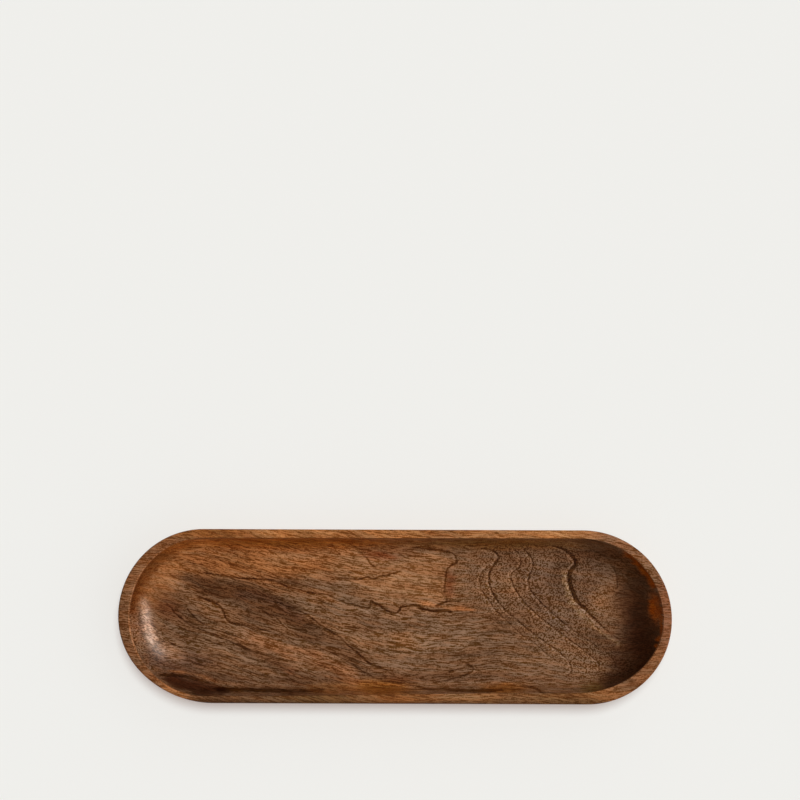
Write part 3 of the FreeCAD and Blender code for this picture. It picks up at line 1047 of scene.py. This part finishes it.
# The backdrop, and the floor. Part of the floor's colour is its own and the rest depends on the
# light that falls on it. Its own part is the warmer one, so the shadow keeps a warm tone.
backdrop_paper = (0.871, 0.863, 0.831, 1.0)
paper_glow = (0.990, 0.815, 0.760, 1.0)
paper_lit = (0.818, 0.936, 0.930, 1.0)
glow_share = 0.4

# The floor reaches this far each way and lies this far under the plate, in metres
floor_reach, floor_gap = 12.0, 0.00005

# Light from the room: its colour, how strong it is at the left and at the right, and what is
# left of it straight above
room_light = (1.0, 0.98, 0.95, 1.0)
left_light, right_light, overhead_share = 0.12, 0.60, 0.55

# The camera looks straight down: the width that it sees, where it stands and how far it is turned
frame_width = 576.8
camera_x, camera_y = 3.0, 156.4
camera_turn = math.radians(0.21)
focal_length, sensor = 100.0, 36.0


def seen_directly(n):
    """1 where the camera looks, straight or in a reflection or through glass, and 0 for light."""
    rays = n.add("ShaderNodeLightPath").outputs
    seen = n.sums("ADD", rays["Is Camera Ray"], rays["Is Glossy Ray"])
    return n.sums("MINIMUM", n.sums("ADD", seen, rays["Is Transmission Ray"]), 1.0)


def make_floor():
    """A wide sheet of pale paper that the plate lies on."""
    bm = bmesh.new()
    bmesh.ops.create_grid(bm, x_segments=1, y_segments=1, size=floor_reach)
    bmesh.ops.translate(bm, vec=(0, 0, -floor_gap), verts=bm.verts)
    mesh = bpy.data.meshes.new("paper floor")
    bm.to_mesh(mesh)
    bm.free()
    material = bpy.data.materials.new("pale paper")
    material.use_nodes = True
    tree = material.node_tree
    tree.nodes.remove(tree.nodes["Principled BSDF"])
    n = Nodes(tree)
    lit = n.add("ShaderNodeBsdfDiffuse", Color=paper_lit)
    glow = n.add("ShaderNodeEmission", Color=paper_glow, Strength=1.0)
    seen = n.sums("MULTIPLY", seen_directly(n), glow_share)
    mixed = n.add("ShaderNodeMixShader", _0=seen, _1=lit, _2=glow)
    tree.links.new(mixed.outputs[0], tree.nodes["Material Output"].inputs["Surface"])
    mesh.materials.append(material)
    floor = bpy.data.objects.new("paper_floor", mesh)
    bpy.context.scene.collection.objects.link(floor)
    return floor


def make_sun(name, azimuth, elevation, strength, spread, colour, lights_only):
    """A broad, distant light on one object. Azimuth is from +X towards +Y, in degrees."""
    light = bpy.data.lights.new(name, "SUN")
    light.energy = strength
    light.angle = math.radians(spread)
    light.color = colour
    lamp = bpy.data.objects.new(name, light)
    a, e = math.radians(azimuth), math.radians(elevation)
    towards = Vector((math.cos(a) * math.cos(e), math.sin(a) * math.cos(e), math.sin(e)))
    lamp.rotation_euler = towards.to_track_quat("Z", "Y").to_euler()
    bpy.context.scene.collection.objects.link(lamp)
    lit = bpy.data.collections.new(name + " lights")
    lit.objects.link(lights_only)
    lamp.light_linking.receiver_collection = lit


def make_room():
    """Soft light from the whole room, brighter on the right, with pale paper behind."""
    world = bpy.data.worlds.new("studio")
    bpy.context.scene.world = world
    world.use_nodes = True
    tree = world.node_tree
    n = Nodes(tree)
    direction = n.add("ShaderNodeTexCoord").outputs["Generated"]
    x, y, z = n.add("ShaderNodeSeparateXYZ", Vector=direction).outputs
    side = n.span(n.sums("MULTIPLY_ADD", y, 0.2, x), -0.9, 1.0, left_light, right_light)
    strength = n.sums("MULTIPLY", side, n.span(z, 0.2, 0.95, 1.0, overhead_share))
    dim = n.add("ShaderNodeBackground", Color=room_light, Strength=strength)
    plain = n.add("ShaderNodeBackground", Color=backdrop_paper, Strength=1.0)
    mixed = n.add("ShaderNodeMixShader", _0=seen_directly(n), _1=dim, _2=plain)
    tree.links.new(mixed.outputs[0], tree.nodes["World Output"].inputs["Surface"])


def make_camera():
    """Straight over the plate, high up: the plate lies in the lower part of the frame."""
    distance = frame_width * focal_length / sensor
    data = bpy.data.cameras.new("camera")
    data.lens = focal_length
    data.sensor_width = sensor
    data.clip_end = 50.0
    camera = bpy.data.objects.new("camera", data)
    camera.location = Vector((camera_x, camera_y, height + distance)) * millimetre
    camera.rotation_euler = (0.0, 0.0, camera_turn)
    bpy.context.scene.collection.objects.link(camera)
    bpy.context.scene.camera = camera


make_camera()
plate = make_plate()
floor = make_floor()
warm, white = (1.0, 0.97, 0.93), (1.0, 1.0, 1.0)
make_sun("window", azimuth=16, elevation=38, strength=1.3, spread=16, colour=warm, lights_only=plate)
make_sun("overhead", azimuth=60, elevation=82, strength=1.5, spread=34, colour=white, lights_only=plate)
make_sun("paper light", azimuth=74, elevation=72, strength=2.36, spread=22, colour=white, lights_only=floor)
make_room()
bpy.context.scene.view_settings.view_transform = "Standard"
